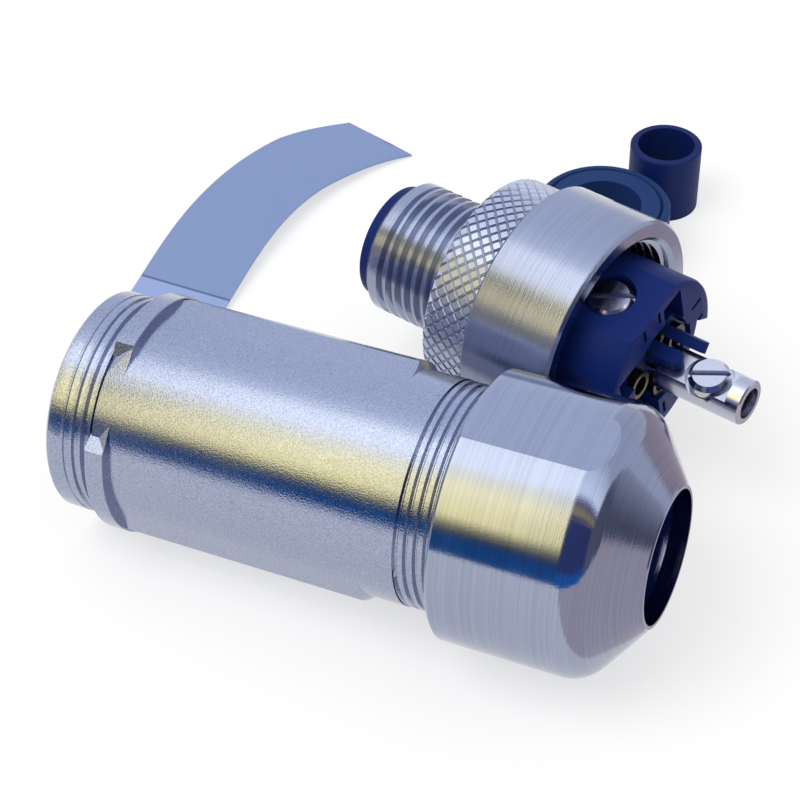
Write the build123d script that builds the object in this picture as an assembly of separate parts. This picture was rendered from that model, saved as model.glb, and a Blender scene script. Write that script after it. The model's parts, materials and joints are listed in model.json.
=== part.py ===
from build123d import *

import math
import os

# Circular plug connector with an M12 x 1 coupling thread, in millimetres, laid out on a table
# as it is taken apart for wiring: the rear sleeve with its gland nut in front, the front shell
# with the coupling nut and the contact insert beside it, and the seals and the tape behind them.
# Each half is drawn about its own X axis, with stations counted from its left end.
# An angle about that axis is 0 towards -Y and 90 towards +Z.

# Clearances
running_gap = 0.08
table_gap = 0.3
edge_break = 0.25

# Rear sleeve, a turned and milled nickel-plated casting
sleeve_thread_radius = 9.1
front_thread_length = 4.2
ring_width = 1.5
ring_radius = 9.85
body_radius = 9.15
body_length = 24.6
rear_thread_length = 9.0
chamber_radius = 8.0
neck_radius = 5.9
neck_length = 1.6
seat_depth = 8.0
slot_angle = 46.0
slot_inner_half_angle = 12.6
slot_outer_half_angle = 28.0
wing_angle = 131.5
wing_half_angle = 29.5
wing_radius = 9.7
wing_length = 21.6
wing_runout = 0.8

# Gland nut on the sleeve's rear thread, shown backed off by its travel
nut_travel = 3.0
nut_wall = 1.75
nut_cylinder_length = 11.5
nut_cone_length = 3.8
nut_shoulder_radius = 3.0
nut_lip_radius = 5.6
cable_hole_radius = 5.34
cable_hole_length = 1.5
nut_thread_depth = 9.4
nut_flat_angle = 84.0
nut_flat_half_angle = 14.5
nut_start_gap = 0.3

# Thrust ring and clamp cage inside the gland
thrust_ring_width = 1.9
thrust_ring_bore = 5.5
thrust_pocket_depth = 1.5
thrust_pocket_radius = 7.55
cage_wall = 1.1
cage_collar_length = 2.6
cage_length = 7.4
cage_fingers = 8
cage_slot_width = 0.9
cage_finger_taper = 0.3

# Coupling nut, M12 x 1, with its knurled collar
coupling_thread_radius = 6.0
coupling_thread_length = 9.22
coupling_edge_radius = 5.45
knurl_radius = 9.82
knurl_length = 4.48
knurl_chamfer = 0.5
counterbore_start = 9.6
ring_groove_start = 11.0
ring_groove_width = 0.8
ring_groove_depth = 0.6

# Front shell, which the sleeve's front thread screws into, just narrower than the gland nut
shell_gap = 0.2
shell_step = 0.05
shell_length = 8.4
shell_wall = 1.7
shell_thread_depth = 0.45
neck_outer_radius = 6.55
neck_front_gap = 0.4

# Retaining ring
retaining_ring_width = 0.6
retaining_ring_radius = 7.0
retaining_ring_groove = 0.5
retaining_ring_opening = 3.0

# Contact insert
collar_radius = 5.16
collar_front = 0.98
collar_bore_radius = 4.25
cavity_floor = 7.6
key_width = 1.0
key_height = 0.6
gasket_thickness = 0.5
gasket_inner_radius = 5.9
gasket_outer_radius = 7.4
insert_radius = 7.85
flange_length = 1.9
block_length = 8.9
block_flat_height = 6.75
block_angle = 74.0
block_count = 4
channel_width = 2.1
channel_inner_radius = 2.5
channel_floor = 1.5
pocket_radius = 2.35
pocket_depth = 1.35
pocket_station = 4.6
block_ledge_depth = 0.9
block_ledge_height = 1.6

# Prongs that stand out behind the insert, over and beside the centre contact
tongue_width = 1.4
tongue_thickness = 0.95
tongue_length = 2.3
tongue_offset = 0.2
tongue_root = 0.2
horn_width = 1.0
horn_thickness = 0.95
horn_length = 3.2
horn_radius = 2.2
horn_turn = 51.5

# Contacts
pin_radius = 0.5
pin_circle_radius = 2.8
pin_recess = 0.2
pin_stem_radius = 0.7
barrel_radius = 1.25
barrel_length = 7.4
barrel_bore_radius = 0.85
barrel_bore_depth = 5.0
centre_stem_radius = 0.9
centre_barrel_radius = 1.95
centre_barrel_gap = 0.35
centre_barrel_length = 8.0
centre_flat_height = 1.2
centre_flat_length = 6.7
centre_mouth_radius = 1.35
centre_mouth_depth = 1.1
centre_bore_radius = 0.85
centre_bore_depth = 6.4
centre_bore_drop = 0.45
centre_screw_station = 4.35
centre_pocket_radius = 2.05
centre_pocket_floor = 0.55

# Clamp screws
screw_head_radius = 1.95
screw_head_height = 1.0
screw_shank_radius = 0.6
screw_slot_width = 0.5
screw_slot_depth = 0.5
screw_seat_gap = 0.1
screw_turn = 28.0
centre_head_radius = 1.75
centre_head_height = 1.15
centre_shank_radius = 0.75

# Loose pieces
seal_radius = 6.3
seal_height = 5.6
seal_hole_radius = 3.55
seal_groove_radius = 5.3
seal_groove_width = 0.35
seal_groove_depth = 0.3
tube_radius = 3.46
tube_bore_radius = 2.75
tube_height = 6.7
tape_width = 9.4
tape_thickness = 0.2

# Places on the table
front_place_x = 14.52
front_place_y = 27.62
front_turn = -12.92
seal_place = (26.2, 47.4)
tube_place = (28.8, 57.4)
tape_route = [
    # centre x, centre y, underside height, heading of the tape in plan
    (-7.0, 15.2, 0.1, 90.0),
    (-7.1, 25.0, 0.45, 91.0),
    (-7.6, 34.0, 1.2, 92.0),
    (-7.0, 42.6, 1.3, 80.0),
    (-4.9, 50.0, 0.8, 66.0),
    (-1.6, 55.6, 0.1, 52.0),
]

# Radii that follow from the sleeve's thread
nut_radius = sleeve_thread_radius + nut_wall
shell_radius = nut_radius - shell_step
shell_bore_radius = sleeve_thread_radius - shell_thread_depth
shell_mouth_radius = sleeve_thread_radius + table_gap

# Stations that follow from the sizes
ring_start = front_thread_length
body_start = ring_start + ring_width
body_end = body_start + body_length
sleeve_end = body_end + rear_thread_length
seat_start = sleeve_end - seat_depth
neck_start = seat_start - neck_length
nut_start = body_end + nut_start_gap + nut_travel
nut_corner = nut_start + nut_cylinder_length
nut_end = nut_corner + nut_cone_length
knurl_start = coupling_thread_length
knurl_end = knurl_start + knurl_length
shell_start = knurl_end + shell_gap
shell_end = shell_start + shell_length
shell_floor = shell_start + shell_wall
flange_start = shell_floor + gasket_thickness
block_start = flange_start + flange_length
block_end = block_start + block_length
centre_barrel_start = block_end + centre_barrel_gap
centre_barrel_end = centre_barrel_start + centre_barrel_length


def turned(*outline):
    """A solid turned about the X axis from (station, radius) points."""
    return revolve(make_face(Polyline(*outline, close=True)), Axis.X)


def disc(start, end, radius):
    """A plain cylinder along X between two stations."""
    return turned((start, 0), (end, 0), (end, radius), (start, radius))


def ring(start, end, inner, outer):
    """A plain ring along X between two stations."""
    return turned((start, inner), (end, inner), (end, outer), (start, outer))


def facing(angle):
    """Turns what faces +Z to face the given angle about X."""
    return Rot(90 - angle, 0, 0)


def slab(start, end, half_width, low, high):
    """A box along X, centred on Y = 0, between two heights."""
    size = (end - start, 2 * half_width, high - low)
    return Pos((start + end) / 2, 0, (low + high) / 2) * Box(*size)


def prism(start, end, points):
    """A prism along X whose section is given as (y, z) points."""
    face = make_face(Polyline(*[(start, y, z) for y, z in points], close=True))
    return extrude(face, amount=end - start, dir=(1, 0, 0))


def at_angle(radius, degrees):
    """A section point at an angle measured from +Z."""
    angle = math.radians(degrees)
    return radius * math.sin(angle), radius * math.cos(angle)


def sleeve_wing():
    """One wrench wing: two flats tangent to the body that meet beyond it."""
    corner = body_radius / math.cos(math.radians(wing_half_angle))
    start, end = body_start - ring_width / 2, body_start + wing_length
    section = [
        (0, 0),
        at_angle(body_radius, -wing_half_angle),
        (0, corner),
        at_angle(body_radius, wing_half_angle),
    ]
    limit = turned(
        (start, 0),
        (end, 0),
        (end, body_radius - edge_break),
        (end - wing_runout, wing_radius),
        (start, wing_radius),
    )
    return prism(start, end, section) & limit


def slot_cutter():
    """What the slot takes out of the sleeve's ring: two ramps with the body's curve between."""
    outside = ring_radius + 1
    right_foot = at_angle(body_radius, slot_inner_half_angle)
    right_top = at_angle(ring_radius, slot_outer_half_angle)
    section = [
        (-right_top[0], right_top[1]),
        (-right_foot[0], right_foot[1]),
        right_foot,
        right_top,
        (right_top[0], outside),
        (-right_top[0], outside),
    ]
    whole = prism(ring_start, body_start, section)
    return whole - disc(ring_start - 1, body_start + 1, body_radius)


def make_rear_sleeve():
    outline = [
        (0, chamber_radius),
        (0, sleeve_thread_radius - edge_break),
        (edge_break, sleeve_thread_radius),
        (ring_start, sleeve_thread_radius),
        (ring_start, ring_radius - edge_break / 2),
        (ring_start + edge_break / 2, ring_radius),
        (body_start - edge_break / 2, ring_radius),
        (body_start, ring_radius - edge_break / 2),
        (body_start, body_radius),
        (body_end, body_radius),
        (body_end, sleeve_thread_radius),
        (sleeve_end - edge_break, sleeve_thread_radius),
        (sleeve_end, sleeve_thread_radius - edge_break),
        (sleeve_end, cage_radius() + running_gap),
        (seat_start, cage_radius() + running_gap),
        (seat_start, neck_radius),
        (neck_start, neck_radius),
        (neck_start, chamber_radius),
    ]
    body = turned(*outline)
    core = disc(ring_start, sleeve_end, chamber_radius + edge_break)
    for side in (0, 180):
        body -= facing(slot_angle + side) * slot_cutter()
        body += facing(wing_angle + side) * (sleeve_wing() - core)
    return body


def cage_radius():
    """Outside of the clamp cage, which sits in the sleeve's rear seat."""
    return seal_radius + running_gap + cage_wall


def make_clamp_cage():
    bore = seal_radius + running_gap
    start = seat_start + running_gap / 2
    end = seat_start + cage_length
    collar_end = start + cage_collar_length
    cage = turned(
        (start, bore),
        (start, cage_radius()),
        (collar_end, cage_radius()),
        (end, cage_radius() - cage_finger_taper),
        (end, bore),
    )
    for finger in range(cage_fingers):
        cage -= facing(finger * 360 / cage_fingers) * slab(
            collar_end, end + 1, cage_slot_width / 2, bore / 2, cage_radius() + 1
        )
    return cage


def make_gland_nut():
    thread_bore = sleeve_thread_radius + running_gap
    thread_end = nut_start + nut_thread_depth
    pocket_end = thread_end + thrust_pocket_depth
    taper_end = nut_end - cable_hole_length
    profile = make_face(
        Polyline(
            (nut_start, thread_bore + edge_break),
            (nut_start, nut_radius - edge_break),
            (nut_start + edge_break, nut_radius),
            (nut_corner, nut_radius),
            (nut_end - edge_break / 2, nut_lip_radius + edge_break / 2),
            (nut_end, nut_lip_radius),
            (nut_end, cable_hole_radius),
            (taper_end, cable_hole_radius),
            (pocket_end, thrust_pocket_radius + running_gap),
            (thread_end, thrust_pocket_radius + running_gap),
            (thread_end, thread_bore),
            (nut_start + edge_break, thread_bore),
            close=True,
        )
    )
    corner = profile.vertices().sort_by_distance((nut_corner, nut_radius, 0))[0]
    nut = revolve(fillet(corner, nut_shoulder_radius), Axis.X)
    flat = nut_radius * math.cos(math.radians(nut_flat_half_angle))
    for side in (0, 180):
        nut -= facing(nut_flat_angle + side) * slab(
            nut_start - 1, nut_end + 1, nut_radius, flat, nut_radius + 1
        )
    return nut


def make_thrust_ring():
    end = nut_start + nut_thread_depth + thrust_pocket_depth - running_gap / 2
    start = end - thrust_ring_width
    return turned(
        (start, thrust_ring_bore + cage_wall),
        (start, thrust_pocket_radius),
        (end, thrust_pocket_radius),
        (end, thrust_ring_bore),
        (end - edge_break, thrust_ring_bore),
    )


def make_coupling_nut():
    bore = collar_radius + running_gap
    neck_bore = neck_outer_radius + running_gap
    groove = retaining_ring_radius + table_gap
    groove_end = ring_groove_start + ring_groove_width
    return turned(
        (0, bore + edge_break / 2),
        (0, coupling_edge_radius),
        (coupling_thread_radius - coupling_edge_radius, coupling_thread_radius),
        (knurl_start, coupling_thread_radius),
        (knurl_start, knurl_radius - knurl_chamfer),
        (knurl_start + knurl_chamfer, knurl_radius),
        (knurl_end - edge_break, knurl_radius),
        (knurl_end, knurl_radius - edge_break),
        (knurl_end, neck_bore),
        (groove_end, neck_bore),
        (groove_end, groove),
        (ring_groove_start, groove),
        (ring_groove_start, neck_bore),
        (counterbore_start, neck_bore),
        (counterbore_start, bore),
        (edge_break / 2, bore),
    )


def make_front_shell():
    neck_bore = collar_radius + running_gap
    neck_front = counterbore_start + neck_front_gap
    groove = neck_outer_radius - retaining_ring_groove
    groove_end = ring_groove_start + ring_groove_width
    return turned(
        (neck_front, neck_bore),
        (neck_front, neck_outer_radius - edge_break / 2),
        (neck_front + edge_break / 2, neck_outer_radius),
        (ring_groove_start, neck_outer_radius),
        (ring_groove_start, groove),
        (groove_end, groove),
        (groove_end, neck_outer_radius),
        (shell_start, neck_outer_radius),
        (shell_start, shell_radius - edge_break),
        (shell_start + edge_break, shell_radius),
        (shell_end - edge_break, shell_radius),
        (shell_end, shell_radius - edge_break),
        (shell_end, shell_mouth_radius),
        (shell_end - (shell_mouth_radius - shell_bore_radius), shell_bore_radius),
        (shell_floor, shell_bore_radius),
        (shell_floor, neck_bore),
    )


def make_retaining_ring():
    start = ring_groove_start + (ring_groove_width - retaining_ring_width) / 2
    inner = neck_outer_radius - retaining_ring_groove + running_gap / 2
    whole = ring(start, start + retaining_ring_width, inner, retaining_ring_radius)
    opening = slab(
        start - 1,
        start + retaining_ring_width + 1,
        retaining_ring_opening / 2,
        0,
        retaining_ring_radius + 1,
    )
    return whole - facing(-90) * opening


def block_angles():
    return [block_angle + 360 / block_count * i for i in range(block_count)]


def prong(start, end, width, low, high):
    """A straight round-ended prong along X, centred on Y = 0, between two heights."""
    nose_radius = width / 2
    bar = slab(start, end - nose_radius, nose_radius, low, high)
    nose = Pos(end - nose_radius, 0, (low + high) / 2) * Cylinder(nose_radius, high - low)
    return bar + nose


def barrel_station():
    """Start of the outer contacts' barrels, whose rear ends are flush with the blocks."""
    return block_end - table_gap - barrel_length


def block_cutter():
    """What one terminal block leaves open, facing +Z: its flat, screw pocket, ledge and channel."""
    outside = insert_radius + 1
    pocket_floor = block_flat_height - pocket_depth
    pocket_x = block_start + pocket_station
    cutter = slab(block_start, block_end + 1, outside, block_flat_height, outside)
    cutter += Pos(pocket_x, 0, (pocket_floor + outside) / 2) * Cylinder(
        pocket_radius, outside - pocket_floor
    )
    cutter += Pos(pocket_x, 0, outside / 2) * Cylinder(screw_shank_radius + running_gap, outside)
    cutter += slab(
        block_end - block_ledge_depth,
        block_end + 1,
        channel_width / 2,
        block_flat_height - block_ledge_height,
        outside,
    )
    cutter += facing(45) * slab(
        block_start + channel_floor,
        block_end + 1,
        channel_width / 2,
        channel_inner_radius,
        outside,
    )
    return cutter


def contact_hole():
    """The stepped hole that holds one outer contact, facing +Z."""
    gap = running_gap / 2
    barrel = disc(barrel_station() - gap, block_end + horn_length, barrel_radius + gap)
    pin = disc(0, barrel_station(), pin_radius + gap)
    return Pos(0, 0, pin_circle_radius) * (barrel + pin)


def make_contact_insert():
    gap = running_gap / 2
    key = slab(
        -collar_front + table_gap,
        cavity_floor,
        key_width / 2,
        collar_bore_radius - key_height,
        collar_radius - gap,
    )
    insert = disc(-collar_front, flange_start, collar_radius)
    insert += disc(flange_start, block_end, insert_radius)
    insert -= disc(-collar_front - 1, cavity_floor, collar_bore_radius)
    insert += facing(-90) * key
    for angle in block_angles():
        insert -= facing(angle) * block_cutter()
    insert += facing(block_angle + horn_turn) * prong(
        block_end - channel_floor,
        block_end + horn_length,
        horn_width,
        horn_radius,
        horn_radius + horn_thickness,
    )
    for angle in block_angles():
        insert -= facing(angle) * contact_hole()
    insert -= disc(0, block_end + horn_length, centre_stem_radius + gap)
    tongue_low = centre_flat_height + running_gap
    tongue = prong(
        block_end - tongue_root,
        block_end + tongue_length,
        tongue_width,
        tongue_low,
        tongue_low + tongue_thickness,
    )
    return insert + facing(block_angle) * Pos(0, -tongue_offset, 0) * tongue


def make_insert_gasket():
    return ring(shell_floor, flange_start, gasket_inner_radius, gasket_outer_radius)


def make_contact():
    """One outer contact, facing +Z: a pin in front and a clamp barrel behind."""
    start = barrel_station()
    end = start + barrel_length
    contact = disc(pin_recess + pin_radius, start, pin_radius)
    contact += turned(
        (pin_recess, 0),
        (pin_recess, pin_radius / 2),
        (pin_recess + pin_radius, pin_radius),
        (pin_recess + pin_radius, 0),
    )
    contact += disc(start, end, barrel_radius)
    contact -= disc(end - barrel_bore_depth, end + 1, barrel_bore_radius)
    hole = Pos(block_start + pocket_station, 0, barrel_radius) * Cylinder(
        screw_shank_radius + running_gap, 2 * barrel_radius
    )
    return Pos(0, 0, pin_circle_radius) * (contact - hole)


def make_centre_contact():
    start, end = centre_barrel_start, centre_barrel_end
    contact = turned(
        (pin_recess, 0),
        (pin_recess, pin_radius / 2),
        (pin_recess + pin_radius, pin_radius),
        (cavity_floor, pin_radius),
        (cavity_floor, centre_stem_radius),
        (start, centre_stem_radius),
        (start, centre_barrel_radius),
        (end - edge_break / 2, centre_barrel_radius),
        (end, centre_barrel_radius - edge_break / 2),
        (end, centre_mouth_radius),
        (end - centre_mouth_depth, centre_mouth_radius),
        (end - centre_mouth_depth, 0),
    )
    bore = disc(end - centre_bore_depth, end, centre_bore_radius)
    outside = centre_barrel_radius + 1
    flat = slab(start - 1, start + centre_flat_length, outside, centre_flat_height, outside)
    screw_x = start + centre_screw_station
    pocket = Pos(screw_x, 0, (centre_pocket_floor + outside) / 2) * Cylinder(
        centre_pocket_radius, outside - centre_pocket_floor
    )
    hole = Pos(screw_x, 0, -centre_bore_drop) * Cylinder(
        centre_shank_radius + running_gap,
        outside,
        align=(Align.CENTER, Align.CENTER, Align.MIN),
    )
    return contact - flat - pocket - hole - Pos(0, 0, -centre_bore_drop) * bore


def make_screw(head_radius, head_height, shank_radius, shank_length):
    """A slotted clamp screw on +Z, with the underside of its head at height 0."""
    dome = head_height * 0.35
    head = Cylinder(head_radius, head_height - dome, align=(Align.CENTER, Align.CENTER, Align.MIN))
    crown = Pos(0, 0, head_height - dome) * Cone(
        head_radius,
        head_radius * 0.8,
        dome,
        align=(Align.CENTER, Align.CENTER, Align.MIN),
    )
    shank = Cylinder(shank_radius, shank_length, align=(Align.CENTER, Align.CENTER, Align.MAX))
    slot = Pos(0, 0, head_height) * Box(2 * head_radius + 1, screw_slot_width, 2 * screw_slot_depth)
    return Rot(0, 0, screw_turn) * (head + crown + shank - slot)


def make_cable_seal():
    """Thick rubber ring standing on the table, with a fine groove near its rim."""
    outline = [
        (seal_hole_radius, 0),
        (seal_radius - edge_break, 0),
        (seal_radius, edge_break),
        (seal_radius, seal_height - edge_break),
        (seal_radius - edge_break, seal_height),
        (seal_groove_radius + seal_groove_width, seal_height),
        (seal_groove_radius + seal_groove_width / 2, seal_height - seal_groove_depth),
        (seal_groove_radius, seal_height),
        (seal_hole_radius, seal_height),
    ]
    face = make_face(Polyline(*[(x, 0, z) for x, z in outline], close=True))
    return revolve(face, Axis.Z)


def make_reducing_tube():
    outline = [
        (tube_bore_radius, 0),
        (tube_radius, 0),
        (tube_radius, tube_height - edge_break / 2),
        (tube_radius - edge_break / 2, tube_height),
        (tube_bore_radius, tube_height),
    ]
    face = make_face(Polyline(*[(x, 0, z) for x, z in outline], close=True))
    return revolve(face, Axis.Z)


def make_shield_tape():
    """Thin strip lofted through flat sections set along its route."""
    sections = []
    for x, y, low, heading in tape_route:
        across = math.radians(heading - 90)
        plane = Plane(
            origin=(x, y, low + tape_thickness / 2),
            x_dir=(math.cos(across), math.sin(across), 0),
            z_dir=(-math.sin(across), math.cos(across), 0),
        )
        sections.append(plane * Rectangle(tape_width, tape_thickness))
    return loft(sections)


# The rear half leans a little, because it rests on its ring and on the wider nut
rear_tilt = math.degrees(math.asin((nut_radius - ring_radius) / (nut_start - ring_start)))
rear_height = nut_radius * math.cos(math.radians(rear_tilt)) - nut_start * math.sin(
    math.radians(rear_tilt)
)
rear_half = Pos(0, 0, rear_height) * Rot(0, -rear_tilt, 0)
front_half = Pos(front_place_x, front_place_y, shell_radius) * Rot(0, 0, front_turn)

nodes = {
    "rear_sleeve": rear_half * make_rear_sleeve(),
    "clamp_cage": rear_half * make_clamp_cage(),
    "thrust_ring": rear_half * make_thrust_ring(),
    "gland_nut": rear_half * make_gland_nut(),
    "coupling_nut": front_half * make_coupling_nut(),
    "front_shell": front_half * make_front_shell(),
    "retaining_ring": front_half * make_retaining_ring(),
    "contact_insert": front_half * make_contact_insert(),
    "insert_gasket": front_half * make_insert_gasket(),
    "centre_contact": front_half * facing(block_angle) * make_centre_contact(),
    "cable_seal": Pos(*seal_place, 0) * make_cable_seal(),
    "reducing_tube": Pos(*tube_place, 0) * make_reducing_tube(),
    "shield_tape": make_shield_tape(),
}

screw_seat = block_flat_height - pocket_depth + screw_seat_gap
screw_x = block_start + pocket_station
for number, angle in enumerate(block_angles(), start=1):
    turn = front_half * facing(angle)
    nodes[f"contact_{number}"] = turn * make_contact()
    screw = make_screw(
        screw_head_radius,
        screw_head_height,
        screw_shank_radius,
        screw_seat - pin_circle_radius,
    )
    nodes[f"terminal_screw_{number}"] = turn * Pos(screw_x, 0, screw_seat) * screw

centre_screw_place = Pos(
    centre_barrel_start + centre_screw_station, 0, centre_pocket_floor + screw_seat_gap
)
nodes["centre_screw"] = (
    front_half
    * facing(block_angle)
    * centre_screw_place
    * make_screw(
        centre_head_radius,
        centre_head_height,
        centre_shank_radius,
        centre_pocket_floor + screw_seat_gap + centre_bore_drop - running_gap,
    )
)

# The origin is under the middle of the whole layout
boxes = [solid.bounding_box() for solid in nodes.values()]
middle_x = (min(box.min.X for box in boxes) + max(box.max.X for box in boxes)) / 2
middle_y = (min(box.min.Y for box in boxes) + max(box.max.Y for box in boxes)) / 2
lowest = min(box.min.Z for box in boxes)
nodes = {name: Pos(-middle_x, -middle_y, -lowest) * solid for name, solid in nodes.items()}

os.makedirs("parts", exist_ok=True)
for name, solid in nodes.items():
    export_step(solid, f"parts/{name}.step")
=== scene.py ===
# %% [markdown]
# # A circular plug connector, taken apart on a table
#
# The object is a field-wired plug with an M12 x 1 coupling thread. Two metal halves lie beside each
# other: the rear sleeve with its gland nut, and the front shell with the knurled coupling nut and the
# black contact insert. Two rubber pieces stand behind them, and a strip of foil tape lies on the left.
# The CAD model gives every piece its size and place, and is loaded first as a fixed frame. This script
# then adds what CAD leaves out, such as threads and the knurl, and gives every piece its finish.

# %% Load the frame
import json
import math

import bpy
from mathutils import Matrix, Vector


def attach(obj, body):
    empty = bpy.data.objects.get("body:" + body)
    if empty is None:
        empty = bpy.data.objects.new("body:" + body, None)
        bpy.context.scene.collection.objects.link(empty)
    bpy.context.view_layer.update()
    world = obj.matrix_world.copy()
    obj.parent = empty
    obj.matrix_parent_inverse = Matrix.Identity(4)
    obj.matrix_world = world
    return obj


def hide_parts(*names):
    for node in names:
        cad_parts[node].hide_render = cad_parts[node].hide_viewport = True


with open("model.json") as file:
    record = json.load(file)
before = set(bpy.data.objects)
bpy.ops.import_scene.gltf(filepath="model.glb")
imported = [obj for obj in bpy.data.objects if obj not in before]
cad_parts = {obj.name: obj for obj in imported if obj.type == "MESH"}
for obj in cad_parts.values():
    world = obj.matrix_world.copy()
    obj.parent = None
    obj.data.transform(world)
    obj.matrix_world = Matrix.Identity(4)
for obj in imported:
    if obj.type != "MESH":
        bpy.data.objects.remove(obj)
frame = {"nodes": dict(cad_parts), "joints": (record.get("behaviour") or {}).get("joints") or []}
bpy.context.view_layer.update()
cad = frame["nodes"]
MM = 0.001

# %% [markdown]
# Each half of the plug is turned about its own axis. Work is easiest in a local frame whose X axis is
# that axis, so a thread is a plain helix about X. The joints of the model state both axes, and the
# stations of two of them along their axes are known from the drawing.

# %% Local frames of the two halves
def half_frame(joint_name, station):
    """Frame with X along a half's axis, worked out from a joint that lies at a known station."""
    joint = next(j for j in frame["joints"] if j["name"] == joint_name)
    along = -Vector(joint["axis"]).normalized()
    side = Vector((0, 0, 1)).cross(along).normalized()
    up = along.cross(side)
    start = Vector(joint["pos_m"]) - station * along
    return Matrix.Translation(start) @ Matrix((along, side, up)).transposed().to_4x4()


GLAND_NUT_STATION = 43.0
COLLAR_START = 9.22

rear_half = half_frame("gland_nut_turn", GLAND_NUT_STATION * MM)
front_half = half_frame("coupling_nut_turn", COLLAR_START * MM)
table_origin = Vector((rear_half.translation.x, rear_half.translation.y, 0))
print("rear axis starts at", rear_half.translation, "front axis at", front_half.translation)

# %% [markdown]
# The camera is a long lens above the front right corner, with the place and the three directions that
# were worked out from the round edges in the photograph. It is made before the pieces, because every
# later choice is judged through it.

# %% Camera
CAMERA_PLACE = Vector((79.82, -113.12, 129.15)) * MM
CAMERA_RIGHT = Vector((0.9089, 0.4169, -0.0088))
CAMERA_DOWN = Vector((0.2696, -0.6035, -0.7504))
CAMERA_AHEAD = Vector((-0.3181, 0.6797, -0.6609))
LENS_MM = 99.0

turn = Matrix((CAMERA_RIGHT, -CAMERA_DOWN, -CAMERA_AHEAD)).transposed()
bpy.ops.object.camera_add(location=table_origin + CAMERA_PLACE, rotation=turn.to_euler())
camera = bpy.context.object
camera.data.lens = LENS_MM
camera.data.clip_start = 0.01
camera.data.clip_end = 20
bpy.context.scene.camera = camera

# %% [markdown]
# New pieces are made with Blender's own operators, as by hand. An operator acts on all that is
# selected, so one helper selects a single object, and another selects some of its vertices by place.

# %% Helpers for selecting and editing
def choose(thing):
    """Selects one object alone and makes it the active one."""
    bpy.ops.object.select_all(action="DESELECT")
    thing.select_set(True)
    bpy.context.view_layer.objects.active = thing


def choose_vertices(thing, wanted):
    """Selects the vertices whose place satisfies a test, and opens edit mode on them."""
    choose(thing)
    bpy.ops.object.mode_set(mode="EDIT")
    bpy.ops.mesh.select_mode(type="VERT")
    bpy.ops.mesh.select_all(action="DESELECT")
    bpy.ops.object.mode_set(mode="OBJECT")
    for vertex in thing.data.vertices:
        vertex.select = wanted(vertex.co)
    bpy.ops.object.mode_set(mode="EDIT")


def radius(place):
    """Distance of a local place from the X axis."""
    return math.hypot(place.y, place.z)


def add_object(name, mesh):
    """Adds an object with a mesh to the scene."""
    thing = bpy.data.objects.new(name, mesh)
    bpy.context.scene.collection.objects.link(thing)
    return thing


def finish_piece(thing, half, body, smooth_degrees=30):
    """Shades a piece, puts it in the frame of its half, and makes it ride on a body."""
    choose(thing)
    bpy.ops.object.shade_smooth_by_angle(angle=math.radians(smooth_degrees))
    thing.data.transform(half)
    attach(thing, body)


# %% [markdown]
# The CAD model has plain cylinders where the real pieces have threads or a knurl. A copy of the CAD
# piece is welded, its plain zones are turned down or bored out to the depth of the grooves, and the
# raised part is then added over them as a closed shell. The copy keeps the wrench flats and the other
# forms of the original.

# %% Copy a CAD piece with its plain zones turned down
def turned_down_copy(node_name, piece_name, half, cuts, zones):
    """Copy of a CAD node in its local frame, cut at some stations and turned down in some zones.

    A zone is (from, to, least radius, most radius, new radius).
    """
    thing = add_object(piece_name, cad[node_name].data.copy())
    thing.data.transform(half.inverted())
    choose(thing)
    bpy.ops.object.mode_set(mode="EDIT")
    bpy.ops.mesh.select_all(action="SELECT")
    bpy.ops.mesh.remove_doubles(threshold=0.002 * MM)
    for station in cuts:
        bpy.ops.mesh.select_all(action="SELECT")
        bpy.ops.mesh.bisect(plane_co=(station * MM, 0, 0), plane_no=(1, 0, 0))
    bpy.ops.object.mode_set(mode="OBJECT")
    bpy.ops.mesh.customdata_custom_splitnormals_clear()
    slack = 0.01
    for start, end, least, most, new_radius in zones:
        for vertex in thing.data.vertices:
            station, now = vertex.co.x / MM, radius(vertex.co) / MM
            if start - slack < station < end + slack and least - slack < now < most + slack:
                vertex.co.y *= new_radius / now
                vertex.co.z *= new_radius / now
    return thing


# %% [markdown]
# A thread is one closed ridge wound round the axis. The Screw modifier winds a small profile into a
# helix that is a turn too long at each end. What lies past the ends is drawn back to them and sunk
# into the wall, where it closes up. A function of the station holds the crest back where the real
# thread runs into a chamfer.

# %% Thread ridge
THREAD_STEPS = 72
THREAD_SUNK = 0.06


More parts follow.
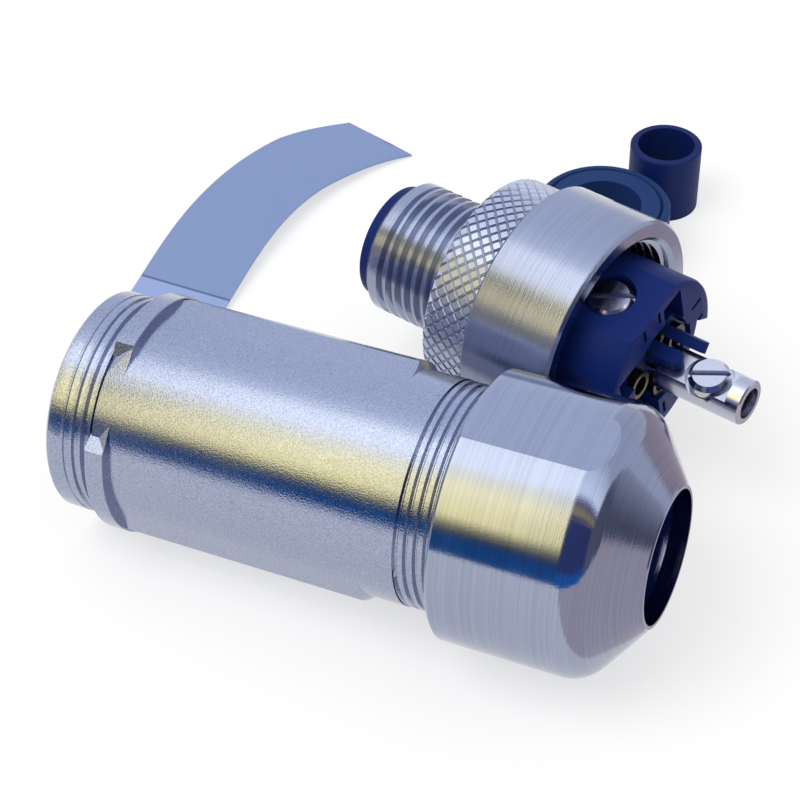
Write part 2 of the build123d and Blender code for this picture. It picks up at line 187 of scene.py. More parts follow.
def thread_ridge(name, start, end, root, crest, pitch, land, crest_limit=None):
    """Closed helical ridge between two stations, from a root radius to a crest radius, in mm.

    The land is the flat top's share of the pitch.
    """
    turns = math.ceil((end - start) / pitch) + 2
    outward = 1 if crest > root else -1
    low = start - pitch
    foot = root - THREAD_SUNK * outward
    profile = [
        (low, foot),
        (low + (1 - land) / 2 * pitch, crest),
        (low + (1 + land) / 2 * pitch, crest),
        (low + 0.99 * pitch, foot),
    ]
    mesh = bpy.data.meshes.new(name)
    corners = [(x * MM, 0, z * MM) for x, z in profile]
    mesh.from_pydata(corners, [(0, 1), (1, 2), (2, 3), (3, 0)], [])
    ridge = add_object(name, mesh)
    choose(ridge)
    winding = ridge.modifiers.new("winding", "SCREW")
    winding.axis = "X"
    winding.screw_offset = pitch * MM
    winding.iterations = turns
    winding.steps = winding.render_steps = THREAD_STEPS
    bpy.ops.object.modifier_apply(modifier=winding.name)
    for vertex in mesh.vertices:
        station = min(max(vertex.co.x / MM, start), end)
        if station != vertex.co.x / MM:
            most = foot
        else:
            most = crest_limit(station) if crest_limit else crest
        now = radius(vertex.co) / MM
        scale = most / now if (now - most) * outward > 0 else 1
        vertex.co = (station * MM, vertex.co.y * scale, vertex.co.z * scale)
    bpy.ops.object.mode_set(mode="EDIT")
    bpy.ops.mesh.select_all(action="SELECT")
    bpy.ops.mesh.remove_doubles(threshold=0.001 * MM)
    bpy.ops.mesh.delete_loose()
    bpy.ops.mesh.select_all(action="SELECT")
    bpy.ops.mesh.normals_make_consistent(inside=False)
    bpy.ops.object.mode_set(mode="OBJECT")
    return ridge


def join(base, *others):
    """Joins other objects into the first one."""
    bpy.ops.object.select_all(action="DESELECT")
    for thing in (base, *others):
        thing.select_set(True)
    bpy.context.view_layer.objects.active = base
    bpy.ops.object.join()
    return base


# %% [markdown]
# The rear sleeve has a fine thread at both ends, with a pitch of about 0.8 mm. The front one screws
# into the front shell, and the rear one carries the gland nut, which leaves a few turns of it in view.
# Beside the front thread stands a ring with two slots. Between the slots it makes two long lugs, with a
# sloping face at each end. Each lug is spun from its profile, and its ends are then drawn in with the
# radius.

# %% Lugs of the sleeve's ring
SLOT_ANGLE = 46.5
SLOT_HALF_ANGLE = 12.6
SLOT_FLOOR = 9.13
# Degrees by which a lug's ends lean in for each mm above the slots' floor
LUG_SLOPE = 14.2 / 0.72
# Corners as (station, radius), in mm
LUG_PROFILE = [(4.1, 8.3), (4.1, 9.8), (4.15, 9.85), (5.67, 9.85), (5.72, 9.8), (5.72, 8.3)]
LUG_STEPS = 96


def ring_lug(name, slot_angle):
    """Closed lug of the ring, from one slot round to the other, with sloping ends."""
    span = 180 - 2 * SLOT_HALF_ANGLE
    mesh = bpy.data.meshes.new(name)
    corners = [(x * MM, r * MM, 0) for x, r in LUG_PROFILE]
    mesh.from_pydata(corners, [], [range(len(corners))])
    thing = add_object(name, mesh)
    choose(thing)
    bpy.ops.object.mode_set(mode="EDIT")
    bpy.ops.mesh.select_all(action="SELECT")
    bpy.ops.mesh.spin(
        steps=LUG_STEPS, angle=math.radians(span), center=(0, 0, 0), axis=(1, 0, 0)
    )
    bpy.ops.object.mode_set(mode="OBJECT")
    for vertex in mesh.vertices:
        now = radius(vertex.co)
        share = abs(math.degrees(math.atan2(vertex.co.z, vertex.co.y))) / span
        inset = LUG_SLOPE * max(0, now / MM - SLOT_FLOOR)
        angle = slot_angle + SLOT_HALF_ANGLE + inset + share * (span - 2 * inset)
        vertex.co.y = -now * math.cos(math.radians(angle))
        vertex.co.z = now * math.sin(math.radians(angle))
    bpy.ops.object.mode_set(mode="EDIT")
    bpy.ops.mesh.select_all(action="SELECT")
    bpy.ops.mesh.normals_make_consistent(inside=False)
    bpy.ops.object.mode_set(mode="OBJECT")
    return thing


# %% Rear sleeve with its two threads
SLEEVE_PITCH = 0.8
SLEEVE_LAND = 0.3
SLEEVE_REAR_LAND = 0.5
SLEEVE_ROOT = 8.68
SLEEVE_REAR_ROOT = 8.82
SLEEVE_CREST = 9.1
SLEEVE_EDGE_RADIUS = 8.8
FRONT_THREAD_START = 1.0
FRONT_THREAD_END = 4.1
REAR_THREAD_START = 30.3
REAR_THREAD_END = 39.3
# The CAD ring, which the lugs replace: (from, to, least radius, most radius)
RING_ZONE = (4.2, 5.6, 9.05, 9.9)

sleeve = turned_down_copy(
    "rear_sleeve",
    "threaded_sleeve",
    rear_half,
    [FRONT_THREAD_START - 0.05, FRONT_THREAD_START, FRONT_THREAD_END],
    [
        (FRONT_THREAD_START, FRONT_THREAD_END, SLEEVE_EDGE_RADIUS, SLEEVE_CREST, SLEEVE_ROOT),
        (*RING_ZONE, SLOT_FLOOR),
        (REAR_THREAD_START, REAR_THREAD_END, SLEEVE_EDGE_RADIUS, SLEEVE_CREST, SLEEVE_REAR_ROOT),
    ],
)
front_thread = thread_ridge(
    "sleeve_front_thread", FRONT_THREAD_START - 0.03, FRONT_THREAD_END + 0.05,
    SLEEVE_ROOT, SLEEVE_CREST, SLEEVE_PITCH, SLEEVE_LAND,
)
rear_thread = thread_ridge(
    "sleeve_rear_thread", REAR_THREAD_START + 0.05, REAR_THREAD_END - 0.05,
    SLEEVE_REAR_ROOT, SLEEVE_CREST, SLEEVE_PITCH, SLEEVE_REAR_LAND,
    lambda s: SLEEVE_EDGE_RADIUS + REAR_THREAD_END - s,
)
lugs = [ring_lug(f"sleeve_lug_{angle:.0f}", angle) for angle in (SLOT_ANGLE, SLOT_ANGLE + 180)]
join(sleeve, front_thread, rear_thread, *lugs)
finish_piece(sleeve, rear_half, "housing", smooth_degrees=9)
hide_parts("rear_sleeve")
print("sleeve faces:", len(sleeve.data.polygons))

# %% [markdown]
# The coupling nut has an M12 x 1 thread and a diamond knurl. A knurl is rolled by two crossing sets of
# ridges, which leaves a raised diamond with a flat top between the grooves. One ring of the band is
# added as a circle and extruded row by row. Every second vertex is a crossing of the grooves: these are
# joined, the others are dissolved, and each diamond that is left is inset and raised.

# %% Diamond knurl
def knurl_band(name, start, end, low, high, around, rows, groove, edge_limit):
    """Closed band of flat-topped diamonds about X, between two stations and two radii, in mm."""
    columns = 2 * around
    step = (end - start) / (2 * rows)
    bpy.ops.mesh.primitive_circle_add(
        vertices=columns, radius=low * MM, location=(start * MM, 0, 0), rotation=(0, math.pi / 2, 0)
    )
    band = bpy.context.object
    band.name = band.data.name = name
    bpy.ops.object.transform_apply()
    bpy.ops.object.mode_set(mode="EDIT")
    bpy.ops.mesh.select_all(action="SELECT")
    for _ in range(2 * rows):
        bpy.ops.mesh.extrude_edges_move(TRANSFORM_OT_translate={"value": (step * MM, 0, 0)})
    bpy.ops.object.mode_set(mode="OBJECT")

    def is_crossing(place):
        column = round(math.atan2(place.z, place.y) / (2 * math.pi) * columns)
        row = round((place.x / MM - start) / step)
        return (column + row) % 2 == 0

    choose_vertices(band, is_crossing)
    bpy.ops.mesh.vert_connect()
    bpy.ops.object.mode_set(mode="OBJECT")
    choose_vertices(band, lambda p: not is_crossing(p))
    bpy.ops.mesh.dissolve_verts()
    bpy.ops.mesh.select_all(action="SELECT")
    bpy.ops.mesh.normals_make_consistent(inside=False)
    bpy.ops.mesh.inset(thickness=groove * MM, depth=(high - low) * MM, use_individual=True)
    bpy.ops.object.mode_set(mode="OBJECT")
    for vertex in band.data.vertices:
        most = edge_limit(vertex.co.x / MM) * MM
        now = radius(vertex.co)
        if now > most:
            vertex.co.y *= most / now
            vertex.co.z *= most / now
    edge = 0.02
    choose_vertices(
        band, lambda p: not start + edge < p.x / MM < end - edge and radius(p) / MM < low + edge
    )
    bpy.ops.mesh.bridge_edge_loops()
    bpy.ops.mesh.select_all(action="SELECT")
    bpy.ops.mesh.normals_make_consistent(inside=False)
    bpy.ops.object.mode_set(mode="OBJECT")
    return band


# %% Coupling nut with its thread and knurl
COUPLING_ROOT = 5.5
COUPLING_CREST = 6.0
COUPLING_PITCH = 1.02
COUPLING_LAND = 0.3
COUPLING_ZONE_START = 1.75
COLLAR_END = 13.7
COLLAR_FRONT_RADIUS = 9.5
COLLAR_REAR_RADIUS = 9.6
KNURL_START = 9.27
KNURL_END = 13.65
KNURL_ROOT = 9.65
KNURL_TIP = 9.82
KNURL_GROOVE = 0.13
KNURL_AROUND = 52
KNURL_ROWS = 4

coupling = turned_down_copy(
    "coupling_nut",
    "knurled_coupling_nut",
    front_half,
    [COUPLING_ZONE_START - 0.25, COUPLING_ZONE_START],
    [
        (COUPLING_ZONE_START, COLLAR_START, 5.9, COUPLING_CREST, COUPLING_ROOT),
        (9.7, COLLAR_END, COLLAR_FRONT_RADIUS, KNURL_TIP, KNURL_ROOT - 0.05),
    ],
)
coupling_thread = thread_ridge(
    "coupling_thread", 1.6, 9.3, COUPLING_ROOT, COUPLING_CREST, COUPLING_PITCH, COUPLING_LAND
)
knurl = knurl_band(
    "coupling_knurl", KNURL_START, KNURL_END, KNURL_ROOT, KNURL_TIP,
    KNURL_AROUND, KNURL_ROWS, KNURL_GROOVE,
    lambda s: min(COLLAR_FRONT_RADIUS + (s - COLLAR_START), COLLAR_REAR_RADIUS + (COLLAR_END - s)),
)
join(coupling, coupling_thread, knurl)
finish_piece(coupling, front_half, "coupling_nut", smooth_degrees=12)
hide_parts("coupling_nut")
print("coupling nut faces:", len(coupling.data.polygons))

# %% [markdown]
# The front shell takes the sleeve's front thread inside its mouth, so it has the matching inside
# thread. Its ridge points to the axis, and it stops short of the shell's floor.

# %% Front shell with its inside thread
SHELL_THREAD_CREST = 8.65
SHELL_THREAD_ROOT = 9.2
SHELL_END = 22.3
SHELL_MOUTH_RADIUS = 9.35

shell = turned_down_copy(
    "front_shell",
    "threaded_front_shell",
    front_half,
    [],
    [(15.0, 21.9, SHELL_THREAD_CREST - 0.05, SHELL_THREAD_CREST, SHELL_THREAD_ROOT)],
)
inside_thread = thread_ridge(
    "shell_inside_thread", 17.0, SHELL_END - 0.1, SHELL_THREAD_ROOT, SHELL_THREAD_CREST,
    SLEEVE_PITCH, SLEEVE_LAND, lambda s: SHELL_MOUTH_RADIUS - (SHELL_END - s),
)
join(shell, inside_thread)
finish_piece(shell, front_half, "housing")
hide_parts("front_shell")
print("front shell faces:", len(shell.data.polygons))

# %% [markdown]
# The insert is one moulding with four terminal blocks. A moulding is easiest made as the mould maker
# sees it: a turned blank, less the shapes that the mould's cores leave open. One block's flat runs to
# the rear and the others stay round there. Behind the blocks the rear has a shallow round recess, a
# notch in its rim and one wire channel beside each contact, set round the middle like a pinwheel.

# %% Insert: blanks and cores
BLOCK_START = 18.0
BLOCK_END = 26.9
BLOCK_ANGLES = [74.0, 164.0, 254.0, 344.0]
BLOCK_RADIUS = 7.45


def facing(angle):
    """Turns what faces up to face an angle about the axis, from 0 in front to 90 on top."""
    return Matrix.Rotation(math.radians(90 - angle), 4, "X")


def settle(angle):
    """Turns the shape just made to face an angle, with its origin on the axis, and returns it."""
    made = bpy.context.object
    bpy.ops.object.transform_apply()
    made.data.transform(facing(angle))
    return made


def rod(start, end, size, height=0, angle=90, sides=96):
    """Round rod along the axis between two stations, at a height above it."""
    bpy.ops.mesh.primitive_cylinder_add(
        vertices=sides, radius=size * MM, depth=(end - start) * MM, rotation=(0, math.pi / 2, 0),
        location=((start + end) / 2 * MM, 0, height * MM),
    )
    return settle(angle)


def post(station, size, low, high, angle, across=0, sides=64):
    """Round post at a station between two heights above the axis, facing an angle."""
    bpy.ops.mesh.primitive_cylinder_add(
        vertices=sides, radius=size * MM, depth=(high - low) * MM,
        location=(station * MM, across * MM, (low + high) / 2 * MM),
    )
    return settle(angle)


def block(start, end, left, right, low, high, angle):
    """Rectangular block between two stations, two sides and two heights, facing an angle."""
    bpy.ops.mesh.primitive_cube_add(
        size=1,
        location=((start + end) / 2 * MM, (left + right) / 2 * MM, (low + high) / 2 * MM),
        scale=((end - start) * MM, (right - left) * MM, (high - low) * MM),
    )
    return settle(angle)


def combine(base, others, operation):
    """Boolean of a base with several other shapes, which are used up."""
    tool = join(*others) if len(others) > 1 else others[0]
    choose(base)
    change = base.modifiers.new(operation.lower(), "BOOLEAN")
    change.operation = operation
    change.solver = "EXACT"
    change.use_self = True
    change.object = tool
    bpy.ops.object.modifier_apply(modifier=change.name)
    bpy.data.objects.remove(tool)
    return base


# %% Insert: the moulding
COLLAR_RADIUS = 5.12
FLANGE_START = 16.1
FLANGE_RADIUS = 7.85
RIM_ROUNDING = 0.4
ROUND_SIDES = 144
CAVITY_END = 7.6
CAVITY_RADIUS = 4.25
RECESS_FLOOR = BLOCK_END - 1.0
RECESS_RADIUS = 4.1
NOTCH_ANGLE = 205
CENTRE_HOLE_RADIUS = 0.94
CONTACT_HEIGHT = 2.8
CONTACT_HOLE_START = 19.16
CONTACT_HOLE_RADIUS = 1.29
PIN_HOLE_RADIUS = 0.54
SCREW_STATION = 22.6
SCREW_SEAT = 5.4
SCREW_HEAD_RADIUS = 2.15
SCREW_SHANK_RADIUS = 0.68
CHANNEL_DEPTH = 2.2
SLIT_DEPTH = 0.6
SLIT_HALF_WIDTH = 0.18
SLIT_PLACES = (-1.65, 0.5)
# A core that is open at the rear or on the outside runs on to here
PAST_REAR = 28
PAST_SIDE = 9

insert = rod(-0.98, FLANGE_START + 0.05, COLLAR_RADIUS)
insert.name = insert.data.name = "insert_moulding"
rear_blank = rod(BLOCK_START - 0.05, BLOCK_END, BLOCK_RADIUS, sides=ROUND_SIDES)
choose(rear_blank)
rim = rear_blank.modifiers.new("rim", "BEVEL")
rim.width = RIM_ROUNDING * MM
rim.segments = 2
bpy.ops.object.modifier_apply(modifier=rim.name)
flange = rod(FLANGE_START, BLOCK_START, FLANGE_RADIUS, sides=ROUND_SIDES)
combine(insert, [flange, rear_blank], "UNION")

cores = [
    rod(-2, CAVITY_END, CAVITY_RADIUS),
    rod(RECESS_FLOOR, PAST_REAR, RECESS_RADIUS),
    rod(0, PAST_REAR, CENTRE_HOLE_RADIUS, sides=48),
    block(BLOCK_END - 1.1, PAST_REAR, -3.2, 3.2, 2.05, PAST_SIDE, NOTCH_ANGLE),
]
for angle in BLOCK_ANGLES:
    flat_end, flat_height = (PAST_REAR, 6.65) if angle == BLOCK_ANGLES[0] else (24.4, 6.45)
    cores += [
        block(BLOCK_START, flat_end, -PAST_SIDE, PAST_SIDE, flat_height, PAST_SIDE, angle),
        post(SCREW_STATION, SCREW_HEAD_RADIUS, SCREW_SEAT, PAST_SIDE, angle),
        post(SCREW_STATION, SCREW_SHANK_RADIUS, CONTACT_HEIGHT, PAST_SIDE, angle),
        rod(CONTACT_HOLE_START, PAST_REAR, CONTACT_HOLE_RADIUS, CONTACT_HEIGHT, angle, 48),
        rod(0, 20, PIN_HOLE_RADIUS, CONTACT_HEIGHT, angle, 32),
        block(BLOCK_END - CHANNEL_DEPTH, PAST_REAR, 1.15, 3.7, 2.2, 5.8, angle),
    ]
    for middle in SLIT_PLACES:
        left, right = middle - SLIT_HALF_WIDTH, middle + SLIT_HALF_WIDTH
        cores.append(block(BLOCK_END - SLIT_DEPTH, PAST_REAR, left, right, 4.9, 6.3, angle))
combine(insert, cores, "DIFFERENCE")


def prong(start, end, across, low, high, width, angle):
    """Prong with a round end, which stands out behind the recess."""
    middle = end - width / 2
    bar = block(start, middle, across - width / 2, across + width / 2, low, high, angle)
    nose = post(middle, width / 2, low, high, angle, across, 48)
    return combine(bar, [nose], "UNION")


tongue = prong(RECESS_FLOOR - 0.2, 29.2, -0.2, 1.28, 2.23, 1.4, 74)
horn = prong(RECESS_FLOOR - 0.3, 30.1, 0, 2.2, 3.15, 1.0, 125.5)
key = block(-0.68, CAVITY_END, -0.5, 0.5, 3.65, 5.1, -90)
combine(insert, [tongue, horn, key], "UNION")
finish_piece(insert, front_half, "housing", smooth_degrees=25)
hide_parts("contact_insert")
print("insert faces:", len(insert.data.polygons))

# %% [markdown]
# The far end of the foil strip was torn off at a slant. Each corner of the end is moved in plan, and
# what lies near it follows by its distance.

# %% Foil strip with its slanting end
# Corners of the end in plan, each with its move, in mm
END_MOVES = [((-5.79, 58.83), (0.13, -1.96)), ((1.94, 53.0), (1.12, 1.46))]
END_REACH = 9.6

tape = add_object("torn_shield_tape", cad["shield_tape"].data.copy())
for vertex in tape.data.vertices:
    moved = Vector(vertex.co)
    for corner, move in END_MOVES:
        away = (vertex.co - table_origin).xy / MM - Vector(corner)
        share = max(0, 1 - away.length / END_REACH)
        moved.xy += Vector(move) * share * MM
    vertex.co = moved
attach(tape, "housing")
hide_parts("shield_tape")

# %% [markdown]
# # Finishes
#
# Each finish is a small network of shader nodes. One function turns the hex value of a colour, as it is
# seen on a screen, into the linear numbers that Blender works with. Another adds one node at a time.

# %% Helpers for materials
def colour(hex_value):
    """Linear colour, with alpha, from an sRGB hex value."""
    parts = [int(hex_value[i : i + 2], 16) / 255 for i in (1, 3, 5)]
    return (*[c / 12.92 if c <= 0.04045 else ((c + 0.055) / 1.055) ** 2.4 for c in parts], 1)


def add_node(tree, kind, inputs=None, **properties):
    """Adds one shader node. An input is a value, or (node, output) for a link."""
    made = tree.nodes.new("ShaderNode" + kind)
    for name, value in properties.items():
        setattr(made, name, value)
    for name, value in (inputs or {}).items():
        if isinstance(value, tuple) and isinstance(value[0], bpy.types.Node):
            tree.links.new(value[0].outputs[value[1]], made.inputs[name])
        else:
            made.inputs[name].default_value = value
    return made


def set_stops(ramp_node, stops):
    """Sets the stops of a colour ramp from (place, hex colour) pairs."""
    ramp = ramp_node.color_ramp
    while len(ramp.elements) < len(stops):
        ramp.elements.new(0.5)
    for element, (place, hex_value) in zip(ramp.elements, stops):
        element.position = place
        element.color = colour(hex_value)
    return ramp_node


def empty_material(name):
    """A material without any nodes, and its tree."""
    made = bpy.data.materials.new(name)
    made.use_nodes = True
    made.node_tree.nodes.clear()
    return made, made.node_tree


def new_material(name):
    """A material with its tree and its Principled shader."""
    made, tree = empty_material(name)
    shader = add_node(tree, "BsdfPrincipled")
    add_node(tree, "OutputMaterial", {"Surface": (shader, "BSDF")})
    return made, tree, shader


def link(tree, source, output, target, socket):
    """Links one output to one input."""
    tree.links.new(source.outputs[output], target.inputs[socket])


def give(thing, material):
    """Gives a piece one material all over."""
    thing.data.materials.clear()
    thing.data.materials.append(material)
    for face in thing.data.polygons:
        face.material_index = 0


# %% [markdown]
# Both halves are nickel-plated. Nickel is a slightly soft grey metal, and a turned surface shows fine
# rings round its axis. They are drawn with noise that is squeezed along the axis, and they change the
# bump and the tone a little. Broad soft patches change the roughness. The sleeve's body is a casting
# that was tumbled before plating, so it has a fine even grain in place of the rings.

# %% Nickel finishes
NICKEL = "#9aa1b7"
NICKEL_DARK = "#9298ad"
CAST_DARK = "#8c93aa"
CAST_PALE = "#a3aac0"
# The knurl's nickel is painted paler than the rest of the nut. This is painted light, standing in for
# the brighter look of its facets under the lamps.
KNURL_PAINTED_LIGHT_NICKEL = "#b8bed0"
TURNING_PITCH = 0.12
ACROSS_SCALE = 40
GRAIN_SCALE = 8000.0
PATCH_SCALE = 260.0
RING_DEPTH = 0.02
GRAIN_DEPTH = 0.03


def nickel(name, half, rings, grain, roughness, dark=NICKEL_DARK, pale=NICKEL):
    """Nickel plate over a turned or cast surface, with turning rings and cast grain by amount."""
    made, tree, shader = new_material(name)
    place = add_node(tree, "TexCoord")
    inverse = half.inverted()
    local = add_node(
        tree,
        "Mapping",
        {
            "Vector": (place, "Object"),
            "Location": inverse.translation,
            "Rotation": inverse.to_euler(),
        },
    )
    squeezed = add_node(
        tree,
        "Mapping",
        {
            "Vector": (local, "Vector"),
            "Scale": (1 / (TURNING_PITCH * MM), ACROSS_SCALE, ACROSS_SCALE),
        },
    )
    ring_noise = add_node(
        tree, "TexNoise", {"Vector": (squeezed, "Vector"), "Scale": 1.0, "Detail": 3.0}
    )
    grain_noise = add_node(
        tree, "TexNoise", {"Vector": (place, "Object"), "Scale": GRAIN_SCALE, "Detail": 2.0}
    )
    patches = add_node(
        tree, "TexNoise", {"Vector": (place, "Object"), "Scale": PATCH_SCALE, "Detail": 4.0}
    )
    ring_bump = add_node(
        tree,
        "Bump",
        {"Height": (ring_noise, "Fac"), "Strength": rings, "Distance": RING_DEPTH * MM},
    )
    grain_bump = add_node(
        tree,
        "Bump",
        {
            "Height": (grain_noise, "Fac"),
            "Strength": grain,
            "Distance": GRAIN_DEPTH * MM,
            "Normal": (ring_bump, "Normal"),
        },
    )
    rough = add_node(
        tree,
        "MapRange",
        {
            "Value": (patches, "Fac"),
            "From Min": 0.3,
            "From Max": 0.7,
            "To Min": roughness - 0.04,
            "To Max": roughness + 0.05,
        },
    )
    pattern = ring_noise if rings > 0 else grain_noise
    tone = add_node(tree, "ValToRGB", {"Fac": (pattern, "Fac")})
    set_stops(tone, [(0.35, dark), (0.6, pale)])
    link(tree, tone, "Color", shader, "Base Color")
    shader.inputs["Metallic"].default_value = 1.0
    link(tree, rough, "Result", shader, "Roughness")
    link(tree, grain_bump, "Normal", shader, "Normal")
    return made


give(sleeve, nickel("nickel_plated_casting", rear_half, 0.0, 0.5, 0.1, CAST_DARK, CAST_PALE))
give(cad["gland_nut"], nickel("nickel_plated_turned_gland", rear_half, 0.25, 0.12, 0.09))
turned_front = nickel("nickel_plated_turned_front", front_half, 0.3, 0.3, 0.14)
give(shell, turned_front)
give(coupling, turned_front)
# The knurl gets a paler copy of the same nickel, which is painted light.
coupling.data.materials.append(
    nickel("nickel_plated_knurl_painted_lighter", front_half, 0.1, 0.3, 0.24, KNURL_PAINTED_LIGHT_NICKEL, KNURL_PAINTED_LIGHT_NICKEL)
)
to_front = front_half.inverted()
for face in coupling.data.polygons:
    middle = to_front @ face.center
    if KNURL_START < middle.x / MM < KNURL_END and radius(middle) / MM > KNURL_ROOT - 0.02:
        face.material_index = 1


# %% [markdown]
# The other finishes are simpler: bright plated contacts, brass, moulded nylon, rubber and foil.

# %% Other finishes
def plain(name, hex_value, metallic, roughness, grain_scale, grain, **inputs):
    """A plain finish with a fine grain in its bump and its roughness."""
    made, tree, shader = new_material(name)
    place = add_node(tree, "TexCoord")
    noise = add_node(
        tree, "TexNoise", {"Vector": (place, "Object"), "Scale": grain_scale, "Detail": 4.0}
    )
    bump = add_node(
        tree, "Bump", {"Height": (noise, "Fac"), "Strength": grain, "Distance": GRAIN_DEPTH * MM}
    )
    rough = add_node(
        tree,
        "MapRange",
        {"Value": (noise, "Fac"), "To Min": roughness - 0.06, "To Max": roughness + 0.06},
    )
    shader.inputs["Base Color"].default_value = colour(hex_value)
    shader.inputs["Metallic"].default_value = metallic
    link(tree, rough, "Result", shader, "Roughness")
    link(tree, bump, "Normal", shader, "Normal")
    for socket, value in inputs.items():
        shader.inputs[socket.replace("_", " ")].default_value = value
    return made


bright_plate = plain("bright_nickel_contact", "#c3c6d4", 1.0, 0.2, 2500.0, 0.1)
brass = plain("dull_brass", "#5f5346", 1.0, 0.35, 2500.0, 0.1)
nylon = plain("moulded_nylon", "#102462", 0.0, 0.42, 3000.0, 0.15, Specular_IOR_Level=0.1)
rubber = plain("moulded_rubber", "#193467", 0.0, 0.55, 3500.0, 0.25, Specular_IOR_Level=0.12)
tube_rubber = plain("moulded_tube_rubber", "#0d2058", 0.0, 0.5, 3500.0, 0.25, Specular_IOR_Level=0.12)
spring = plain("spring_steel", "#9a9ba3", 1.0, 0.25, 2500.0, 0.1)
cage_plastic = plain("cage_nylon", "#1b3080", 0.0, 0.5, 3000.0, 0.15, Specular_IOR_Level=0.1)
foil = plain("foil_tape", "#8598bf", 0.6, 0.45, 1800.0, 0.2)

# %% [markdown]
# The foil is folded across near the sleeve. A dark line of painted shade marks the fold's crease, and
# the part before it is painted paler, as painted light.

# %% Painted shade and light at the fold of the foil
FOLD = 25.3
FOLD_REACH = 1

fold_tree = foil.node_tree
fold_place = add_node(fold_tree, "TexCoord")
fold_split = add_node(fold_tree, "SeparateXYZ", {"Vector": (fold_place, "Object")})
fold_along = add_node(
    fold_tree,
    "MapRange",
    {
        "Value": (fold_split, "Y"),
        "From Min": table_origin.y + (FOLD - FOLD_REACH) * MM,
        "From Max": table_origin.y + (FOLD + FOLD_REACH) * MM,
    },
)
fold_painted_shade_and_light = add_node(fold_tree, "ValToRGB", {"Fac": (fold_along, "Result")})
# The first, pale stop is painted light before the fold. The two dark stops are painted shade along its
# crease.
set_stops(
    fold_painted_shade_and_light,
    [(0.4, "#97a8d0"), (0.47, "#5c6b90"), (0.53, "#5c6b90"), (0.6, "#8396bc")],
)
link(fold_tree, fold_painted_shade_and_light, "Color", fold_tree.nodes["Principled BSDF"], "Base Color")

# %% Which piece has which finish
give(insert, nylon)
give(tape, foil)
FINISHES = {
    "centre_contact": bright_plate,
    "centre_screw": bright_plate,
    "clamp_cage": cage_plastic,
    "thrust_ring": cage_plastic,
    "insert_gasket": rubber,
    "cable_seal": rubber,
    "reducing_tube": tube_rubber,
    "retaining_ring": spring,
}
for number in range(1, 5):
    FINISHES[f"contact_{number}"] = brass
    FINISHES[f"terminal_screw_{number}"] = bright_plate
for name, finish in FINISHES.items():
    give(cad[name], finish)

# %% [markdown]
# # Studio
#
# The floor is pale and the background is white. The world lights everything evenly. Metal shows what
# is round it, so a curved reflector stands over the table that only reflections can see. Going round
# from the front it has a dark blue strip at the horizon, a warm lamp above it, a cool lamp overhead and
# a pale back. To the left the strip is grey and the lamp duller, and to the right the lamp ends.

# %% Floor and world
FLOOR_WHITE = 0.6

bpy.ops.mesh.primitive_plane_add(size=6, location=(0, 0, 0))
floor = bpy.context.object
floor.name = "studio_floor"
floor_material, floor_tree, floor_shader = new_material("pale_floor")
floor_shader.inputs["Base Color"].default_value = colour("#fbfbfb")
floor_shader.inputs["Roughness"].default_value = 1.0
floor_shader.inputs["Specular IOR Level"].default_value = 0.0


def seen_rays(tree):
    """Node that gives 1 for the rays that show a background: camera, glossy and transmission rays."""
    path = add_node(tree, "LightPath")
    two = add_node(
        tree, "Math", {0: (path, "Is Camera Ray"), 1: (path, "Is Glossy Ray")}, operation="MAXIMUM"
    )
    return add_node(
        tree, "Math", {0: (two, "Value"), 1: (path, "Is Transmission Ray")}, operation="MAXIMUM"
    )


white_share = add_node(
    floor_tree, "Math", {0: (seen_rays(floor_tree), "Value"), 1: FLOOR_WHITE}, operation="MULTIPLY"
)
white = add_node(floor_tree, "Emission", {"Color": (1, 1, 1, 1), "Strength": 1.0})
lightened = add_node(
    floor_tree,
    "MixShader",
    {0: (white_share, "Value"), 1: (floor_shader, "BSDF"), 2: (white, "Emission")},
)
link(floor_tree, lightened, "Shader", floor_tree.nodes["Material Output"], "Surface")
give(floor, floor_material)

world = bpy.data.worlds.new("white_studio")
bpy.context.scene.world = world
world.use_nodes = True
sky = world.node_tree
sky.nodes.clear()
level = add_node(
    sky, "MapRange", {"Value": (seen_rays(sky), "Value"), "To Min": 0.85, "To Max": 1.0}
)
light = add_node(sky, "Background", {"Color": (1, 1, 1, 1), "Strength": (level, "Result")})
add_node(sky, "OutputWorld", {"Surface": (light, "Background")})

# %% Helpers for what only reflections see
def only_reflected(thing):
    """Hides a piece of the studio from everything but reflections."""
    thing.visible_camera = False
    thing.visible_diffuse = False
    thing.visible_shadow = False
    thing.visible_transmission = False


def shine(tree, source, strength):
    """Ends a material's tree with a light of a colour that comes from one of its nodes."""
    glow = add_node(tree, "Emission", {"Color": source, "Strength": strength})
    add_node(tree, "OutputMaterial", {"Surface": (glow, "Emission")})


# %% Reflector
REFLECTOR_RADIUS = 0.6
REFLECTOR_LENGTH = 3.0
REFLECTOR_FROM = -14
REFLECTOR_TO = 178
